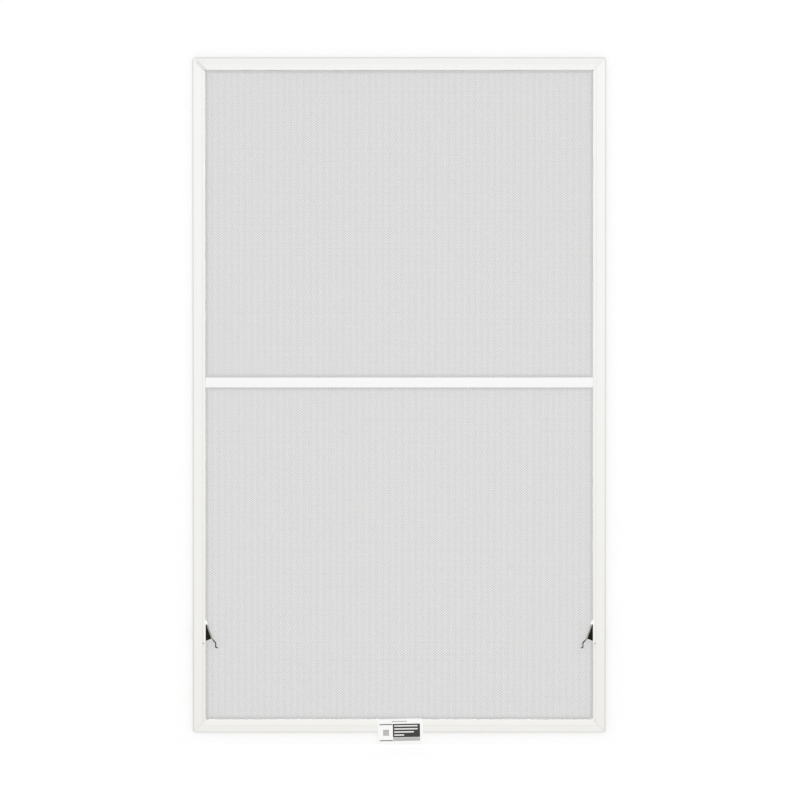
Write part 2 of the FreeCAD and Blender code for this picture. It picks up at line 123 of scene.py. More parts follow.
def axes_of(tree, place):
    """The X, Y and Z of a place, as sockets."""
    node = add_node(tree, "ShaderNodeSeparateXYZ")
    tree.links.new(place, node.inputs["Vector"])
    return node.outputs


def start_finish(name):
    """A new node material with its tree, its shader and the place of each point on the object."""
    material = bpy.data.materials.new(name)
    material.use_nodes = True
    tree = material.node_tree
    place = add_node(tree, "ShaderNodeTexCoord").outputs["Object"]
    return material, tree, tree.nodes["Principled BSDF"], place


print("plain materials that came with the CAD part", len(bpy.data.materials))

# %% [markdown]
# The rails are roll-formed aluminium strip with a baked white enamel. Such paint has a soft satin gloss, a
# faint orange peel, and very shallow lines along the bar from the forming rolls. The folded hem at the outer
# edge is greyer, as painted shade where the edge turns away from the light, and the fine beads of the face
# and the mitres carry thin lines of painted shade. The hem and the beads lie at fixed distances from the
# frame's edges, so two distances are worked out for each point. The nearer of the two edges gives lines that
# run along the rails and turn each corner, and the difference of the two is nought on the diagonal of a
# mitre.

# %% Distances from the outline
outline_low = Vector((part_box("left_rail")[0].x, 0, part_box("bottom_rail")[0].z))
outline_high = Vector((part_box("right_rail")[1].x, 0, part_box("top_rail")[1].z))
print("outline", [round(size, 4) for size in outline_high - outline_low])


def from_edge(tree, value, low, high):
    """The distance to the nearer of two edges along one axis, below nought outside them."""
    off_centre = maths(tree, "ABSOLUTE", maths(tree, "SUBTRACT", value, (low + high) / 2))
    return maths(tree, "SUBTRACT", (high - low) / 2, off_centre)


def edge_distances(tree, place):
    """How far a point is from the nearer upright edge and from the nearer level edge."""
    axes = axes_of(tree, place)
    across = from_edge(tree, axes["X"], outline_low.x, outline_high.x)
    upward = from_edge(tree, axes["Z"], outline_low.z, outline_high.z)
    return across, upward


def outline_distance(tree, place):
    """How far a point is in from the frame's outline."""
    return maths(tree, "MINIMUM", *edge_distances(tree, place))


def mitre_distance(tree, place):
    """How far a point is from the diagonal of the nearest corner."""
    apart = maths(tree, "ABSOLUTE", maths(tree, "SUBTRACT", *edge_distances(tree, place)))
    return maths(tree, "MULTIPLY", apart, math.sqrt(0.5))


# %% [markdown]
# Below each latch, a small round snap hole goes through the rail's face, and painted shade greys its rim. A
# mask could be painted there, but the hole's place is known from the lever's hinge, so the distance from it
# is worked out like the others. Left and right are folded together, because the two sides mirror each other.

# %% Distance from the snap holes
hinge = Vector(frame["joints"][0]["pos_m"])
snap_out, snap_drop = 4.9 * mm, 37.0 * mm
snap_hole = Vector((abs(hinge.x) + snap_out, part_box("left_rail")[0].y, hinge.z - snap_drop))
print("snap hole at", [round(value, 4) for value in snap_hole])


def snap_hole_distance(tree, place):
    """How far a point is from the snap hole on its side."""
    axes = axes_of(tree, place)
    folded = (maths(tree, "ABSOLUTE", axes["X"]), axes["Y"], axes["Z"])
    offsets = [maths(tree, "SUBTRACT", value, spot) for value, spot in zip(folded, snap_hole)]
    across, depth, upward = [maths(tree, "MULTIPLY", offset, offset) for offset in offsets]
    return maths(tree, "SQRT", maths(tree, "ADD", maths(tree, "ADD", across, depth), upward))


# %% [markdown]
# No real surface is one even colour. Noise gives its slow changes, a ramp turns a value into a colour, and
# thin tints are multiplied over each other, as a painter glazes. Roughness follows the same values, so dull
# places are also the places with another tone. Relief that is too fine to model tilts the shader's normal.

# %% Textures, tints and relief
noise_range = (0.3, 0.7)
mix_first, mix_second, mix_result = 6, 7, 2


def noise(tree, place, scale, detail=2.0):
    """Noise with its own scale on each axis, in cells for each metre. Most of it lies in the noise range."""
    mapping = add_node(tree, "ShaderNodeMapping", {"Scale": scale})
    tree.links.new(place, mapping.inputs["Vector"])
    texture = add_node(tree, "ShaderNodeTexNoise", {"Scale": 1.0, "Detail": detail})
    tree.links.new(mapping.outputs["Vector"], texture.inputs["Vector"])
    return texture.outputs["Fac"]


def ramp(tree, value, start, end, low, high):
    """A colour that goes from low to high while a value goes from start to end."""
    node = add_node(tree, "ShaderNodeValToRGB")
    first, last = node.color_ramp.elements
    first.position, first.color = start, low
    last.position, last.color = end, high
    tree.links.new(value, node.inputs["Fac"])
    return node.outputs["Color"]


def spread(tree, value, from_low, from_high, low, high):
    """A value stretched from one range to another."""
    sockets = {"From Min": from_low, "From Max": from_high, "To Min": low, "To Max": high}
    node = add_node(tree, "ShaderNodeMapRange", sockets)
    tree.links.new(value, node.inputs["Value"])
    return node.outputs["Result"]


def tinted(tree, base, tint, blend="MULTIPLY"):
    """One colour multiplied by another, or blended with it in another way."""
    node = add_node(tree, "ShaderNodeMix", {"Factor": 1.0}, data_type="RGBA", blend_type=blend)
    tree.links.new(base, node.inputs[mix_first])
    tree.links.new(tint, node.inputs[mix_second])
    return node.outputs[mix_result]


def relief(tree, shader, height, depth):
    """A fine relief on the shader's normal, with its full depth in metres."""
    node = add_node(tree, "ShaderNodeBump", {"Strength": 1.0, "Distance": depth})
    tree.links.new(height, node.inputs["Height"])
    tree.links.new(node.outputs["Normal"], shader.inputs["Normal"])


print("most noise lies between", *noise_range)

# %% [markdown]
# The enamel is now a stack of layers: a white that goes slowly greyer towards the sill as painted shade, the
# rolling lines, painted shade on the hem, a step in tone at the bead, and lines of painted shade. One
# texture for the whole frame would be less work, but the lines have to run along each bar and every rail has
# its own beads and shade lines, so the side rails, the sill, the head and the crossbar get their own version
# of it.

# %% White enamel
rail_face = 23.2 * mm
side_bead, sill_bead = rail_face - 5.5 * mm, rail_face - 9.9 * mm
bead_half, mitre_half = 0.9 * mm, 0.8 * mm
# the painted shade on the hem is full at the first distance and gone at the second
hem_shade_full, hem_shade_clear = 1.0 * mm, 2.4 * mm
step_half = 0.2 * mm
mitre_shade_share = 0.88
snap_reach, snap_shade_share = 2.2 * mm, 0.5
shade_core = 0.25
rolled_tint = (0.975, 0.975, 0.97, 1.0)
enamel_gloss = (0.36, 0.46)
peel_scale, peel_depth = (450, 450, 450), 0.02 * mm


def painted_shade_line(tree, distance, line, half, share):
    """Painted shade on a line at some distance: dark on the line and clean a little to each side."""
    off_line = maths(tree, "ABSOLUTE", maths(tree, "SUBTRACT", distance, line))
    return ramp(tree, spread(tree, off_line, 0.0, half, 0.0, 1.0), shade_core, 1.0, grey(share), clean)


def white_enamel(name, low_tone, high_tone, roll_scale, hem_shade_share, face_share=1.0, shaded_beads=()):
    """Satin baked enamel, from a low tone at the sill to a high tone at the head, with wear and dust."""
    material, tree, shader, place = start_finish(name)
    level = spread(tree, axes_of(tree, place)["Z"], outline_low.z, outline_high.z, 0.0, 1.0)
    roll_lines = noise(tree, place, roll_scale, 3.0)
    distance = outline_distance(tree, place)
    # painted shade on the outer hem, where the edge turns away from the light
    from_hem = spread(tree, distance, hem_shade_full, hem_shade_clear, 0.0, 1.0)
    past_bead = spread(tree, distance, sill_bead - step_half, sill_bead + step_half, 0.0, 1.0)
    layers = [
        ramp(tree, roll_lines, *noise_range, rolled_tint, clean),
        ramp(tree, from_hem, 0.0, 1.0, grey(hem_shade_share), clean),
        ramp(tree, past_bead, 0.0, 1.0, grey(face_share), clean),
        # painted shade lines in the mitres, round the snap holes and in the beads
        painted_shade_line(tree, mitre_distance(tree, place), 0.0, mitre_half, mitre_shade_share),
        painted_shade_line(tree, snap_hole_distance(tree, place), 0.0, snap_reach, snap_shade_share),
        *[painted_shade_line(tree, distance, line, bead_half, share) for line, share in shaded_beads],
    ]
    # painted shade: the side rails' white goes darker and warmer towards the sill
    tone = ramp(tree, level, 0.0, 1.0, low_tone, high_tone)
    for layer in layers:
        tone = tinted(tree, tone, layer)
    tree.links.new(tone, shader.inputs["Base Color"])
    tree.links.new(spread(tree, roll_lines, *noise_range, *enamel_gloss), shader.inputs["Roughness"])
    relief(tree, shader, noise(tree, place, peel_scale), peel_depth)
    return material


# %% [markdown]
# The side rails are a shade warmer and greyer near the sill than near the head, as painted shade. They have
# one line of painted shade in a bead, the bottom rail has two, and the top rail and the crossbar have none.
# Each share says how much of the white is left where a layer is darkest. A CAD node whose shape is right
# only needs its material slot changed.

# %% Enamel on the rails
# the darker low white at the sill is painted shade
low_white, high_white = screen_colour(239, 238, 234), screen_colour(246, 246, 245)
sill_white, head_white = screen_colour(246, 245, 241), screen_colour(244, 244, 242)
bar_white = screen_colour(247, 247, 247)
along_x, along_z = (5, 600, 600), (600, 600, 5)
side_beads = [(side_bead, 0.91)]
sill_beads = [(side_bead, 0.96), (sill_bead, 0.93)]


def dress(finish, *names):
    """Gives a finish to CAD nodes."""
    for name in names:
        slots = frame["nodes"][name].data.materials
        slots.clear()
        slots.append(finish)
    print(finish.name, "on", ", ".join(names))


side_enamel = white_enamel(
    "side_enamel", low_white, high_white, along_z, hem_shade_share=0.76, shaded_beads=side_beads
)
sill_enamel = white_enamel(
    "sill_enamel", sill_white, sill_white, along_x, hem_shade_share=0.86, face_share=0.95, shaded_beads=sill_beads
)
head_enamel = white_enamel("head_enamel", head_white, head_white, along_x, hem_shade_share=0.76, face_share=0.96)
crossbar_enamel = white_enamel("crossbar_enamel", bar_white, bar_white, along_x, hem_shade_share=1.0)
dress(side_enamel, "left_rail", "right_rail")
dress(sill_enamel, "bottom_rail")
dress(head_enamel, "top_rail")
dress(crossbar_enamel, "crossbar")

# %% [markdown]
# The corner keys, the crossbar's plugs and the latch housings are moulded in white nylon. Nylon is a little
# brighter and duller than the enamel, with a cloudy tone from the way it flowed in the mould and a fine matt
# grain. A key's rib shows in the mitre at the top left, which stands a little open, and painted shade
# darkens the narrow slit at each side of the rib.

# %% White nylon
rib_side, slit_half = 1.7 * mm, 0.9 * mm
nylon_dull, nylon_bright = screen_colour(246, 246, 243), screen_colour(252, 252, 251)
nylon_gloss = (0.48, 0.6)
flow_scale = (60, 60, 90)
matt_scale, matt_depth = (1600, 1600, 1600), 0.012 * mm


def white_nylon(name, slit_shade_share=1.0):
    """Matt moulded nylon, with painted shade in the slits beside a key's rib."""
    material, tree, shader, place = start_finish(name)
    flow = noise(tree, place, flow_scale, 3.0)
    tone = ramp(tree, flow, *noise_range, nylon_dull, nylon_bright)
    # painted shade in the slits beside the key's rib
    shaded_slits = painted_shade_line(tree, mitre_distance(tree, place), rib_side, slit_half, slit_shade_share)
    tree.links.new(tinted(tree, tone, shaded_slits), shader.inputs["Base Color"])
    tree.links.new(spread(tree, flow, *noise_range, *nylon_gloss), shader.inputs["Roughness"])
    relief(tree, shader, noise(tree, place, matt_scale), matt_depth)
    return material


sides = ("left", "right")
keys = [f"{level}_{side}_key" for level in ("top", "bottom") for side in sides]
mouldings = [f"{side}_{piece}" for side in sides for piece in ("crossbar_plug", "latch_housing")]
dress(white_nylon("key_nylon", slit_shade_share=0.55), *keys)
dress(white_nylon("moulded_nylon"), *mouldings)

# %% [markdown]
# The release levers are the one dark thing on the screen. The slanted edge of each lever gets a pale grey
# band, a painted highlight. A painted mask could show that, but the edge is straight, so the distance from
# the line through two of its points is enough, with a limit on how far the highlight goes back from the
# front. The points are measured from the hinge, inwards and up, and one line serves both levers because they
# mirror each other.

# %% Painted highlight on a lever's edge
edge_top, edge_foot = Vector((1.4, -3.8)) * mm, Vector((10.1, -28.2)) * mm
# where the painted highlight lies on each lever
highlight_line, highlight_half = 0.1 * mm, 1.0 * mm
highlight_core = 0.8
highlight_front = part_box("left_latch_lever")[0].y
highlight_back = highlight_front + 1.6 * mm
highlight_grey, no_highlight = screen_colour(160, 157, 148), grey(0.0)


def painted_edge_highlight(tree, place):
    """The painted highlight to add on a lever: pale grey along its slanted edge and none elsewhere."""
    axes = axes_of(tree, place)
    inward = maths(tree, "SUBTRACT", abs(hinge.x), maths(tree, "ABSOLUTE", axes["X"]))
    upward = maths(tree, "SUBTRACT", axes["Z"], hinge.z)
    along = (edge_foot - edge_top).normalized()
    outward = Vector((-along.y, along.x))
    parts = [maths(tree, "MULTIPLY", way, share) for way, share in zip((inward, upward), outward)]
    distance = maths(tree, "ADD", *parts)
    off_line = maths(tree, "SUBTRACT", distance, outward.dot(edge_top) + highlight_line)
    to_the_side = spread(tree, maths(tree, "ABSOLUTE", off_line), 0.0, highlight_half, 0.0, 1.0)
    to_the_back = spread(tree, axes["Y"], highlight_front, highlight_back, 0.0, 1.0)
    away = maths(tree, "MAXIMUM", to_the_side, to_the_back)
    return ramp(tree, away, highlight_core, 1.0, highlight_grey, no_highlight)


print("slanted edge is", round((edge_foot - edge_top).length / mm, 1), "mm long")

# %% [markdown]
# The levers are moulded in black acetal, which is slightly warm, with the fine spark grain that a mould
# leaves and a dull shine in patches. Plain black would swallow every edge, so the patches go up to a dark
# brown grey. The shine is kept low: a white studio on all sides would turn a glossy black to grey.

# %% Black acetal
acetal_dark, acetal_pale = screen_colour(6, 5, 2), screen_colour(36, 31, 21)
patch_range, acetal_gloss = (0.35, 0.7), (0.52, 0.34)
patch_scale = (140, 140, 140)
spark_scale, spark_depth = (2600, 2600, 2600), 0.015 * mm


def black_acetal():
    """Black moulded acetal with a spark grain, dull patches and a painted highlight on its edge."""
    material, tree, shader, place = start_finish("black_acetal")
    patches = noise(tree, place, patch_scale, 3.0)
    black = ramp(tree, patches, *patch_range, acetal_dark, acetal_pale)
    # a painted highlight along the slanted edge
    tone = tinted(tree, black, painted_edge_highlight(tree, place), "ADD")
    tree.links.new(tone, shader.inputs["Base Color"])
    tree.links.new(spread(tree, patches, *patch_range, *acetal_gloss), shader.inputs["Roughness"])
    shader.inputs["Specular IOR Level"].default_value = 0.08
    relief(tree, shader, noise(tree, place, spark_scale), spark_depth)
    return material


dress(black_acetal(), *[f"{side}_latch_lever" for side in sides])

# %% [markdown]
# The hinge pins and the hairpin springs are bright spring steel. They sit deep in the rail and its housing,
# but the model can be taken apart, so every piece is dressed. Drawn wire and rolled strip both have fine
# lines along their length, given here by stretched noise.

# %% Spring steel
steel_dull, steel_bright = (0.46, 0.46, 0.45, 1.0), (0.62, 0.62, 0.6, 1.0)
steel_gloss = (0.22, 0.36)
drawn_scale = (4000, 300, 600)


def spring_steel():
    """Bright drawn steel with fine lines."""
    material, tree, shader, place = start_finish("spring_steel")
    drawn = noise(tree, place, drawn_scale, 3.0)
    tree.links.new(ramp(tree, drawn, *noise_range, steel_dull, steel_bright), shader.inputs["Base Color"])
    tree.links.new(spread(tree, drawn, *noise_range, *steel_gloss), shader.inputs["Roughness"])
    shader.inputs["Metallic"].default_value = 1.0
    return material


dress(spring_steel(), *[f"{side}_{piece}" for side in sides for piece in ("pivot_pin", "return_spring")])

# %% [markdown]
# The cloth is the screen itself: glass-fibre yarns in a vinyl coat, 18 to the inch across and 16 to the
# inch up, fused where they cross. An image with holes in it would be quick, but it goes flat at an angle
# and casts the wrong shadow, so every yarn is real here. There are well over a thousand of them and each
# is the same straight rod with its ends turned into the groove, which is work for Geometry Nodes: one
# tree lays out a set of yarns, and it runs twice, once for the upright warp and once, turned a quarter,
# for the level weft.

# %% Cloth sizes
cloth_low, cloth_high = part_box("insect_mesh")
cloth_centre = (cloth_low + cloth_high) / 2
cloth_width = cloth_high.x - cloth_low.x
cloth_height = cloth_high.z - cloth_low.z
yarn_thickness = 0.28 * mm
warp_pitch = 25.4 * mm / 18
weft_pitch = 25.4 * mm / 16
yarn_lap = 0.1 * mm
turned_edge = cloth_high.y - cloth_low.y - 2 * yarn_thickness
cloth_plane = cloth_high.y - yarn_thickness
print("cloth", round(cloth_width, 4), "by", round(cloth_height, 4), "turned in by", round(turned_edge, 5))

# %% [markdown]
# Seen close, a woven yarn dips under every second yarn that it crosses. The rods are straight, so the
# finish does that: the product of two cosines, one for each pitch, is high where the warp lies on top and
# low where it dips, and the weft uses the same product turned over. It tilts the light along the yarn.


# %% Waves over the cloth
def yarn_count(length, pitch):
    """How many yarns fit along a length."""
    return math.floor(length / pitch)


def first_yarn(length, pitch, middle):
    """The place of the first yarn in a row that lies evenly round a middle."""
    return middle - (yarn_count(length, pitch) - 1) * pitch / 2


def wave(tree, value, width, start=0.0):
    """A cosine that is plus one at the start, minus one a width further on, and so on."""
    shifted = maths(tree, "SUBTRACT", value, start)
    return maths(tree, "COSINE", maths(tree, "MULTIPLY", shifted, math.pi / width))


def crossed(tree, first, second, low, high):
    """The product of two waves, as a value from low to high."""
    return spread(tree, maths(tree, "MULTIPLY", first, second), -1.0, 1.0, low, high)


print("yarns", yarn_count(cloth_width, warp_pitch), "by", yarn_count(cloth_height, weft_pitch))

# %% [markdown]
# From a few metres away, a yarn is finer than a pixel of the picture, and the weave beats with the camera's
# grid. What shows then is a fine, even check, a few yarns wide, with faint upright bands. A render averages
# its samples and loses that beat, so the grey of the coat carries it: the product of two longer cosines
# makes the check, and one more makes the bands. The coat is also thin in places, which gives each yarn its
# own slow change of grey, and painted shade darkens the cloth along its edges, next to the rails and the
# crossbar. For that, the finish needs the distance to the nearest rail or to an edge of the crossbar.

# %% Yarn finish
check_width, check_height = 3.0 * mm, 2.235 * mm
check_dark, check_pale = screen_colour(104, 104, 103), screen_colour(250, 250, 249)
band_width, band_share = 6.05 * mm, 0.86
slub_share = 0.9
edge_shade_full, edge_shade_clear = 1.5 * mm, 7.0 * mm
edge_shade_share = 0.35
dip_depth = 0.05 * mm


def painted_edge_shade(tree, place, height_up):
    """Painted shade on the cloth: dark along a rail or an edge of the crossbar and none a few millimetres
    away.
    """
    bar_low, bar_high = (corner.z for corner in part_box("crossbar"))
    from_rail = maths(tree, "SUBTRACT", outline_distance(tree, place), rail_face)
    from_bar = maths(tree, "ABSOLUTE", from_edge(tree, height_up, bar_low, bar_high))
    nearest = maths(tree, "MINIMUM", from_rail, from_bar)
    unshaded = spread(tree, nearest, edge_shade_full, edge_shade_clear, 0.0, 1.0)
    return ramp(tree, unshaded, 0.0, 1.0, grey(edge_shade_share), clean)


def coated_yarn(name, dipped, raised, slub_scale):
    """Grey vinyl coat on a glass yarn, with the weave's dips, a fine check and upright bands."""
    material, tree, shader, place = start_finish(name)
    axes = axes_of(tree, place)
    warp_wave = wave(tree, axes["X"], warp_pitch, first_yarn(cloth_width, warp_pitch, cloth_centre.x))
    weft_wave = wave(tree, axes["Z"], weft_pitch, first_yarn(cloth_height, weft_pitch, cloth_centre.z))
    check_waves = wave(tree, axes["X"], check_width), wave(tree, axes["Z"], check_height)
    check = crossed(tree, *check_waves, 0.0, 1.0)
    band = spread(tree, wave(tree, axes["X"], band_width), -1.0, 1.0, 0.0, 1.0)
    coat = ramp(tree, check, 0.0, 1.0, check_dark, check_pale)
    layers = [
        ramp(tree, band, 0.0, 1.0, grey(band_share), clean),
        ramp(tree, noise(tree, place, slub_scale), *noise_range, grey(slub_share), clean),
        # painted shade along the rails and the crossbar
        painted_edge_shade(tree, place, axes["Z"]),
    ]
    for layer in layers:
        coat = tinted(tree, coat, layer)
    tree.links.new(coat, shader.inputs["Base Color"])
    shader.inputs["Roughness"].default_value = 0.55
    relief(tree, shader, crossed(tree, warp_wave, weft_wave, dipped, raised), dip_depth)
    return material


warp_finish = coated_yarn("warp_yarn", dipped=0.0, raised=1.0, slub_scale=(700, 700, 3))
weft_finish = coated_yarn("weft_yarn", dipped=1.0, raised=0.0, slub_scale=(3, 700, 700))
print("nodes in the warp's finish", len(warp_finish.node_tree.nodes))

# %% [markdown]
# A Geometry Nodes tree reads best when its inputs have names, as a machine has labelled dials. One helper
# makes a tree with such inputs, and the others add nodes to it, link them by name and end every tree in the
# same way: set in place, made real and given its finish.

# %% Helpers for Geometry Nodes
float_input, integer_input = "NodeSocketFloat", "NodeSocketInt"
vector_input, material_input = "NodeSocketVector", "NodeSocketMaterial"
random_low, random_high, random_value = 2, 3, 1


def new_tree(name, inputs):
    """A tree with named inputs, and its group input and output."""
    tree = bpy.data.node_groups.new(name, "GeometryNodeTree")
    for title, kind in inputs.items():
        tree.interface.new_socket(title, in_out="INPUT", socket_type=kind)
    tree.interface.new_socket("Geometry", in_out="OUTPUT", socket_type="NodeSocketGeometry")
    return tree, tree.nodes.new("NodeGroupInput").outputs, tree.nodes.new("NodeGroupOutput").inputs


def linked_node(tree, kind, links, sockets=None, **settings):
    """The result of a node whose sockets are linked by name, with values for some others."""
    node = add_node(tree, kind, sockets, **settings)
    for name, socket in links.items():
        tree.links.new(socket, node.inputs[name])
    return node.outputs[0]


def vector_node(tree, rest=0.0, **axes):
    """A vector from sockets for some of its axes, and one value for the rest."""
    links = {axis.upper(): socket for axis, socket in axes.items()}
    return linked_node(tree, "ShaderNodeCombineXYZ", links, dict.fromkeys("XYZ", rest))


def odd_or_even(tree):
    """One for every second point and nought for the others."""
    return maths(tree, "MODULO", add_node(tree, "GeometryNodeInputIndex").outputs[0], 2)


def random_within(tree, reach, seed):
    """A random value for each point, between minus and plus a reach."""
    node = add_node(tree, "FunctionNodeRandomValue", data_type="FLOAT")
    tree.links.new(maths(tree, "MULTIPLY", reach, -1), node.inputs[random_low])
    tree.links.new(reach, node.inputs[random_high])
    tree.links.new(seed, node.inputs["Seed"])
    return node.outputs[random_value]


def realized(tree, geometry, inputs, output):
    """The end of each tree: real geometry, set in place, with its finish."""
    placing = {"Geometry": geometry, "Translation": inputs["Place"]}
    placed = linked_node(tree, "GeometryNodeTransform", placing)
    real = linked_node(tree, "GeometryNodeRealizeInstances", {"Geometry": placed})
    painting = {"Geometry": real, "Material": inputs["Finish"]}
    painted = linked_node(tree, "GeometryNodeSetMaterial", painting)
    tree.links.new(painted, output["Geometry"])
    print(tree.name, "has", len(tree.nodes), "nodes")


# %% [markdown]
# The yarn tree starts with one yarn: a long square rod with a short rod at each end that turns towards the
# room, down the side of the groove in the rail's back. A round rod would have many more faces, and a square
# one is enough at a quarter of a millimetre. It keeps the whole cloth under fifty thousand triangles.

# %% One yarn
yarn_inputs = {
    "Across": float_input,
    "Length": float_input,
    "Pitch": float_input,
    "Thickness": float_input,
    "Turned Edge": float_input,
    "Turns": float_input,
    "Unevenness": float_input,
    "Wander": float_input,
    "Seed": integer_input,
    "Quarter Turn": float_input,
    "Place": vector_input,
    "Finish": material_input,
}
yarn_tree, dial, result = new_tree("yarn_set", yarn_inputs)

thickness = dial["Thickness"]
rod_size = vector_node(yarn_tree, x=thickness, y=thickness, z=dial["Length"])
rods = [linked_node(yarn_tree, "GeometryNodeMeshCube", {"Size": rod_size})]
end_size = vector_node(yarn_tree, x=thickness, y=dial["Turned Edge"], z=thickness)
end_depth = maths(yarn_tree, "MULTIPLY", dial["Turned Edge"], -0.5)
end_reach = maths(yarn_tree, "SUBTRACT", dial["Length"], thickness)
for end in (-0.5, 0.5):
    end_place = vector_node(yarn_tree, y=end_depth, z=maths(yarn_tree, "MULTIPLY", end_reach, end))
    end_rod = linked_node(yarn_tree, "GeometryNodeMeshCube", {"Size": end_size})
    end_links = {"Geometry": end_rod, "Translation": end_place}
    rods.append(linked_node(yarn_tree, "GeometryNodeTransform", end_links))
yarn = add_node(yarn_tree, "GeometryNodeJoinGeometry")
for rod in rods:
    yarn_tree.links.new(rod, yarn.inputs["Geometry"])
print("rods in a yarn", len(rods))

# %% [markdown]
# Then a row of points, a pitch apart, gets one yarn on each. A perfect grid looks like flat film from a few
# metres, and real cloth doesn't: its yarns take turns to stand forward, so every second one looks bolder,
# and the loom leaves each a little off its place and its width. Three inputs do this, with a fixed seed for
# the chance, so that the cloth comes out the same each time.

# %% A row of yarns
count = maths(yarn_tree, "FLOOR", maths(yarn_tree, "DIVIDE", dial["Across"], dial["Pitch"]))
half_row = maths(yarn_tree, "MULTIPLY", maths(yarn_tree, "SUBTRACT", count, 1), -0.5)
row_start = vector_node(yarn_tree, x=maths(yarn_tree, "MULTIPLY", half_row, dial["Pitch"]))
step = vector_node(yarn_tree, x=dial["Pitch"])
row_links = {"Count": count, "Start Location": row_start, "Offset": step}
row = linked_node(yarn_tree, "GeometryNodeMeshLine", row_links)
drift = vector_node(yarn_tree, x=random_within(yarn_tree, dial["Wander"], dial["Seed"]))
wandering_row = linked_node(yarn_tree, "GeometryNodeSetPosition", {"Geometry": row, "Offset": drift})

forward_or_back = maths(yarn_tree, "SUBTRACT", maths(yarn_tree, "MULTIPLY", odd_or_even(yarn_tree), 2), 1)
boldness = maths(yarn_tree, "MULTIPLY", forward_or_back, dial["Turns"])
other_seed = maths(yarn_tree, "ADD", dial["Seed"], 1)
chance = random_within(yarn_tree, dial["Unevenness"], other_seed)
width_share = maths(yarn_tree, "ADD", maths(yarn_tree, "ADD", boldness, chance), 1)
yarn_scale = vector_node(yarn_tree, rest=1.0, x=width_share)
yarn_links = {"Points": wandering_row, "Instance": yarn.outputs[0], "Scale": yarn_scale}
yarns = linked_node(yarn_tree, "GeometryNodeInstanceOnPoints", yarn_links)
turn = vector_node(yarn_tree, y=dial["Quarter Turn"])
turned = linked_node(yarn_tree, "GeometryNodeTransform", {"Geometry": yarns, "Rotation": turn})
realized(yarn_tree, turned, dial, result)

# %% [markdown]
# A tree is a recipe, and the pieces that leave this file are plain meshes. So one helper sets a tree's dials
# on an empty mesh, keeps what comes out and throws the machine away, and another makes a piece of it.


# %% Keep a mesh
def run_tree(name, tree, dials):
    """Sets a tree's inputs by their identifiers and keeps what it makes as a plain mesh."""
    host = bpy.data.objects.new(name + "_host", bpy.data.meshes.new(name + "_host"))
    bpy.context.scene.collection.objects.link(host)
    modifier = host.modifiers.new(name, "NODES")
    modifier.node_group = tree
    for socket in tree.interface.items_tree:
        if socket.in_out == "INPUT":
            modifier[socket.identifier] = dials[socket.name]
    graph = bpy.context.evaluated_depsgraph_get()
    mesh = bpy.data.meshes.new_from_object(host.evaluated_get(graph), depsgraph=graph)
    bpy.data.objects.remove(host)
    mesh.name = name
    print(tree.name, "made", len(mesh.polygons), "faces for", name)
    return mesh


def add_piece(name, mesh):
    """A piece of the object, at the origin."""
    piece = bpy.data.objects.new(name, mesh)
    bpy.context.scene.collection.objects.link(piece)
    print(name, "has", sum(len(face.vertices) - 2 for face in mesh.polygons), "triangles")
    return piece


# %% [markdown]
# The two sets of yarns lie almost in one plane, the warp a little nearer the room, so that they lap where
# they cross, as fused yarns do.

# %% Weave the cloth
warp_place = Vector((cloth_centre.x, cloth_plane - yarn_lap, cloth_centre.z))
weft_place = Vector((cloth_centre.x, cloth_plane + yarn_lap, cloth_centre.z))
shared = {
    "Thickness": yarn_thickness,
    "Turned Edge": turned_edge,
    "Turns": 0.15,
    "Unevenness": 0.05,
    "Wander": 0.05 * mm,
}
warp_dials = {
    **shared,
    "Across": cloth_width,
    "Length": cloth_height,
    "Pitch": warp_pitch,
    "Seed": 3,
    "Quarter Turn": 0.0,
    "Place": warp_place,
    "Finish": warp_finish,
}
weft_dials = {
    **shared,
    "Across": cloth_height,
    "Length": cloth_width,
    "Pitch": weft_pitch,
    "Seed": 8,
    "Quarter Turn": math.pi / 2,
    "Place": weft_place,
    "Finish": weft_finish,
}
warp = run_tree("warp", yarn_tree, warp_dials)
weft = run_tree("weft", yarn_tree, weft_dials)

# %% [markdown]
# The cloth is one piece, so both sets go into one mesh, and each face keeps the finish of its own set. It
# rides on the frame and stands for the plain CAD solid.

# %% Join warp and weft
weaving = bmesh.new()
weaving.from_mesh(warp)
warp_faces = len(weaving.faces)
weaving.from_mesh(weft)
weaving.faces.ensure_lookup_table()
for index, face in enumerate(weaving.faces):
    face.material_index = 0 if index < warp_faces else 1
cloth_mesh = bpy.data.meshes.new("screen_cloth")
weaving.to_mesh(cloth_mesh)
weaving.free()
cloth_mesh.materials.append(warp_finish)
cloth_mesh.materials.append(weft_finish)

cloth = add_piece("screen_cloth", cloth_mesh)
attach(cloth, "frame")
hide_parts("insect_mesh")

# %% [markdown]
# At the back, a vinyl bead is rolled into the groove on top of the cloth's edge and wedges it there. It is
# grey and dull, and old vinyl goes chalky in patches.

# %% Bead finish
vinyl_dark, vinyl_chalk = screen_colour(150, 151, 152), screen_colour(178, 179, 180)
vinyl_gloss = (0.5, 0.68)
chalk_scale = (70, 70, 70)
skin_scale, skin_depth = (1200, 1200, 1200), 0.02 * mm


def bead_vinyl():
    """Dull grey extruded vinyl with chalky patches."""
    material, tree, shader, place = start_finish("bead_vinyl")
    chalk = noise(tree, place, chalk_scale, 4.0)
    tree.links.new(ramp(tree, chalk, *noise_range, vinyl_dark, vinyl_chalk), shader.inputs["Base Color"])
    tree.links.new(spread(tree, chalk, *noise_range, *vinyl_gloss), shader.inputs["Roughness"])
    relief(tree, shader, noise(tree, place, skin_scale), skin_depth)
    return material


bead_finish = bead_vinyl()
print("bead finish", bead_finish.name)

# %% [markdown]
# The bead is extruded, so its small ribs run along its length, and it bends round each corner without a cut.
# A bump texture could fake the ribs, but the bead is what shows of the frame's back, so they are modelled. A
# tree sweeps a ribbed ring along a rectangle with rounded corners: every second point of the ring is pulled
# in to make the ribs.

